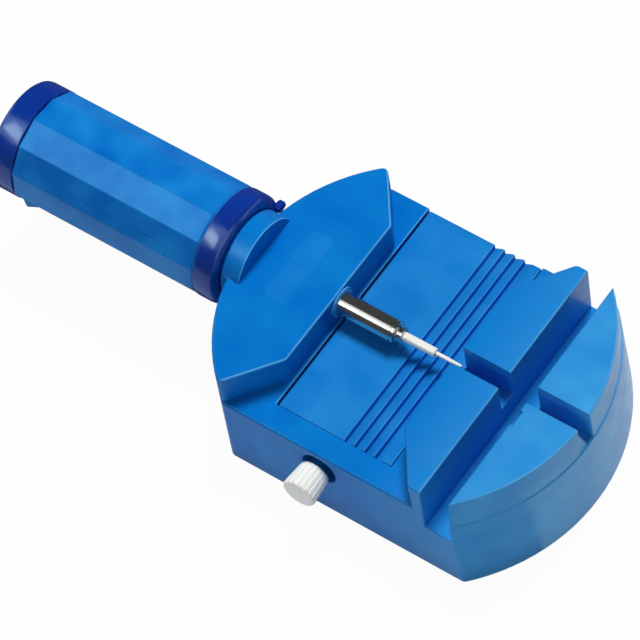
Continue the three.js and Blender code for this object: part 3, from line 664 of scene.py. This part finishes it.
def thumb_screw():
    """The head, straight-knurled and tapering inwards, with painted shade in its grooves, and the turned
    shank.
    """
    teeth = 20
    least_knurled = 2.65  # rings within this radius have no teeth
    shape = (
        (KNOB_OUTER, 0.0), (KNOB_OUTER, 2.7), (KNOB_OUTER + 0.12, 2.95), (KNOB_OUTER + 0.4, 3.13),
        (KNOB_INNER - 0.4, 2.75), (KNOB_INNER - 0.12, 2.6), (KNOB_INNER, 2.3), (KNOB_INNER, 0.0),
    )
    cuts = ((0.0, 0.0), (0.3, 0.0), (0.42, 0.22), (0.5, 0.3), (0.58, 0.22), (0.7, 0.0))  # each (share, depth)
    groove_steps = (2, 3)
    made = bmesh.new()
    rings = []
    for place, radius in shape:
        if not radius:
            rings.append([made.verts.new((0, place * MM, 0))])
            continue
        ring = []
        for tooth in range(teeth):
            for share, depth in cuts:
                turn = 2 * math.pi * (tooth + share) / teeth
                reach = radius - (depth if radius > least_knurled else 0)
                side = reach * math.cos(turn) * MM
                rise = reach * math.sin(turn) * MM
                ring.append(made.verts.new((side, place * MM, rise)))
        rings.append(ring)
    for low, high in zip(rings, rings[1:]):
        for step, face in enumerate(joined(made, low, high)):
            if len(face.verts) == 4:
                # the faces at the bottom of each of the grooves take the painted shade
                face.material_index = int(step % len(cuts) in groove_steps)
    bmesh.ops.recalc_face_normals(made, faces=made.faces)
    mesh = finished(made, "knurled_head")
    mesh.transform(Matrix.Translation((KNOB_X * MM, 0, KNOB_Z * MM)))
    smooth(mesh, angle=30)
    linked("knurled_head", mesh, "thumb_screw", "nickel", MATERIALS["nickel"], "bed_screw")
    mesh.materials.append(MATERIALS["groove"])
    journal_end, journal_radius = -24.0, 2.2
    shank_end, shank_radius = -5.0, 1.5
    tip, tip_radius = -4.4, 1.05
    turned("screw_shank", [
        (KNOB_INNER, 0, 0), (KNOB_INNER, journal_radius, 0), (journal_end, journal_radius, 0.15),
        (journal_end, shank_radius, 0.1), (shank_end, shank_radius, 0.3), (tip, tip_radius, 0), (tip, 0, 0),
    ], "thumb_screw", "nickel", MATERIALS["steel"], across=True)


def repaint():
    """Gives each CAD node that stays its own material."""
    kept = {
        "bed_washer": "steel", "bed_clip": "steel", "bed_nut": "brass",
        "thrust_washer_front": "brass", "thrust_washer_rear": "brass", "thrust_plug": "brass",
        "cap_ring": "rubber",
        "spare_needle_1": "steel", "spare_needle_2": "steel", "spare_needle_3": "steel",
    }
    for name, finish in kept.items():
        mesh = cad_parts[name].data
        mesh.materials.clear()
        mesh.materials.append(MATERIALS[finish])


# Camera, light and floor

def camera_axes():
    """The camera's right, up and back directions."""
    azimuth, elevation, roll = (math.radians(value) for value in (AZIMUTH, ELEVATION, ROLL))
    level = math.cos(elevation)
    back = Vector((math.sin(azimuth) * level, -math.cos(azimuth) * level, math.sin(elevation)))
    right = Vector((math.cos(azimuth), math.sin(azimuth), 0))
    up = back.cross(right)
    rolled_right = right * math.cos(roll) + up * math.sin(roll)
    rolled_up = up * math.cos(roll) - right * math.sin(roll)
    return rolled_right, rolled_up, back


def photo_camera():
    """The camera at the photograph's angle."""
    right, up, back = camera_axes()
    place = back * DISTANCE + right * SHIFT_RIGHT + up * SHIFT_UP
    data = bpy.data.cameras.new("photo_camera")
    data.sensor_width = SENSOR
    data.lens = FOCAL_PIXELS / IMAGE_PIXELS * SENSOR
    data.clip_start = CLIP_NEAR
    data.clip_end = CLIP_FAR
    camera = placed("photo_camera", data)
    turn = Matrix((right, up, back)).transposed().to_4x4()
    camera.matrix_world = Matrix.Translation(place) @ turn
    bpy.context.scene.camera = camera


def lamp(name, direction, distance, size, size_y, power):
    """A soft lamp of two sizes, at a distance along a direction, that faces the tool."""
    target = Vector((-0.02, 0, 0.015))
    data = bpy.data.lights.new(name, "AREA")
    data.shape = "RECTANGLE"
    data.size = size
    data.size_y = size_y
    data.energy = power
    obj = placed(name, data)
    aim = Vector(direction).normalized()
    turn = aim.to_track_quat("Z", "Y").to_matrix().to_4x4()
    obj.matrix_world = Matrix.Translation(target + aim * distance) @ turn
    return obj


def card(name, profile, ends, shade):
    """A bent card of a profile of (across, height), for the gloss alone to reflect."""
    mesh = bpy.data.meshes.new(name)
    corners = [(end, across, height) for across, height in profile for end in ends]
    faces = [(2 * at, 2 * at + 1, 2 * at + 3, 2 * at + 2) for at in range(len(profile) - 1)]
    mesh.from_pydata(corners, [], faces)
    material, tree, bsdf = shader(name, (0, 0, 0), 0.9, specular=0.0)
    bsdf.inputs["Emission Color"].default_value = (*shade, 1)
    bsdf.inputs["Emission Strength"].default_value = 1.0
    mesh.materials.append(material)
    obj = placed(name, mesh)
    obj.visible_camera = False
    obj.visible_diffuse = False
    obj.visible_transmission = False
    obj.visible_shadow = False


def seen_rays(tree):
    """1 for camera, glossy and transmission rays, and 0 for the light that falls on things."""
    path = node(tree, "ShaderNodeLightPath")
    seen = node(tree, "ShaderNodeMath", operation="MAXIMUM")
    through = node(tree, "ShaderNodeMath", operation="MAXIMUM")
    tree.links.new(path.outputs["Is Camera Ray"], seen.inputs[0])
    tree.links.new(path.outputs["Is Glossy Ray"], seen.inputs[1])
    tree.links.new(seen.outputs[0], through.inputs[0])
    tree.links.new(path.outputs["Is Transmission Ray"], through.inputs[1])
    return through.outputs[0]


def world_light():
    """White for what is seen, and a weak light for what is lit."""
    strength = 0.12
    world = bpy.data.worlds.new("studio")
    bpy.context.scene.world = world
    world.use_nodes = True
    tree = world.node_tree
    background = tree.nodes["Background"]
    level = node(tree, "ShaderNodeMapRange")
    level.inputs["To Min"].default_value = strength
    level.inputs["To Max"].default_value = 1.0
    tree.links.new(seen_rays(tree), level.inputs["Value"])
    tree.links.new(level.outputs["Result"], background.inputs["Strength"])
    background.inputs["Color"].default_value = (1, 1, 1, 1)


def floor():
    """A pale floor that takes the shadow, and is nearly white where it is seen."""
    size = 6.0
    height = -0.0002
    white_share = 0.96
    mesh = bpy.data.meshes.new("floor")
    corners = [(x, y, height) for x, y in ((-size, -size), (size, -size), (size, size), (-size, size))]
    mesh.from_pydata(corners, [], [(0, 1, 2, 3)])
    material, tree, bsdf = shader("floor", (0.82, 0.83, 0.84), 0.9, specular=0.0)
    glow = node(tree, "ShaderNodeEmission")
    mix = node(tree, "ShaderNodeMixShader")
    amount = node(tree, "ShaderNodeMath", operation="MULTIPLY")
    amount.inputs[1].default_value = white_share
    tree.links.new(seen_rays(tree), amount.inputs[0])
    tree.links.new(amount.outputs[0], mix.inputs["Fac"])
    tree.links.new(bsdf.outputs[0], mix.inputs[1])
    tree.links.new(glow.outputs[0], mix.inputs[2])
    tree.links.new(mix.outputs[0], tree.nodes["Material Output"].inputs["Surface"])
    mesh.materials.append(material)
    obj = placed("floor", mesh)


def studio():
    """The view, the lamps, the floor, and the cards that the blue and the metal reflect: dark flags, and
    cards on the floor beside and under the tool that are painted shadow for the gloss.
    """
    bpy.context.scene.view_settings.view_transform = "Standard"
    world_light()
    floor()
    soft_box = lamp("soft_box", (-0.38, -0.5, 0.78), distance=1.1, size=0.6, size_y=0.38, power=2.5)
    soft_box.visible_diffuse = False
    key = lamp("key", (-0.07, 0.36, 0.93), distance=1.1, size=0.34, size_y=0.34, power=10.6)
    key.visible_glossy = False
    low_fill = lamp("low_fill", (0.1, -0.88, 0.46), distance=1.1, size=0.6, size_y=0.4, power=1.7)
    low_fill.visible_glossy = False
    dark = (0.06, 0.065, 0.07)
    foot = 0.0004
    side = 1.6  # where the wide cards end, both ways along the tool
    shadow_near_edge = -0.1
    shadow_split = -0.013
    far_start = 0.22
    far_split = 0.02
    far_rise = [(far_start, foot), (0.45, 0.45), (0.4, 0.9), (-0.12, 1.14)]
    near_rise = [(shadow_near_edge, foot), (-1.3, foot), (-1.3, 0.76), (-1.12, 1.0)]
    # The far card's strip on the floor, under the handle, is painted shadow; where it rises it is a dark flag
    card("far_card", [(shadow_split, foot)] + far_rise, (-side, far_split), dark)
    card("far_front_card", far_rise, (far_split, side), dark)
    card("near_card", near_rise, (-side, side), dark)
    # Grey cards on the floor along the near side, fading out towards the front: painted shadow of the tool,
    # seen in gloss alone
    floor_shadows = (
        ("near_floor_shadow", -side, 0.045, (0.39, 0.46, 0.58)),
        ("near_floor_shadow_fade", 0.045, 0.075, (0.53, 0.6, 0.69)),
        ("near_floor_shadow_end", 0.075, 0.105, (0.74, 0.79, 0.84)),
    )
    for name, start, end, shade in floor_shadows:
        card(name, [(shadow_split, foot), (shadow_near_edge, foot)], (start, end), shade)


photo_camera()
studio()
base_and_plate()
recess_lining()
rod_bush()
top_pad()
handle()
pusher()
thumb_screw()
repaint()
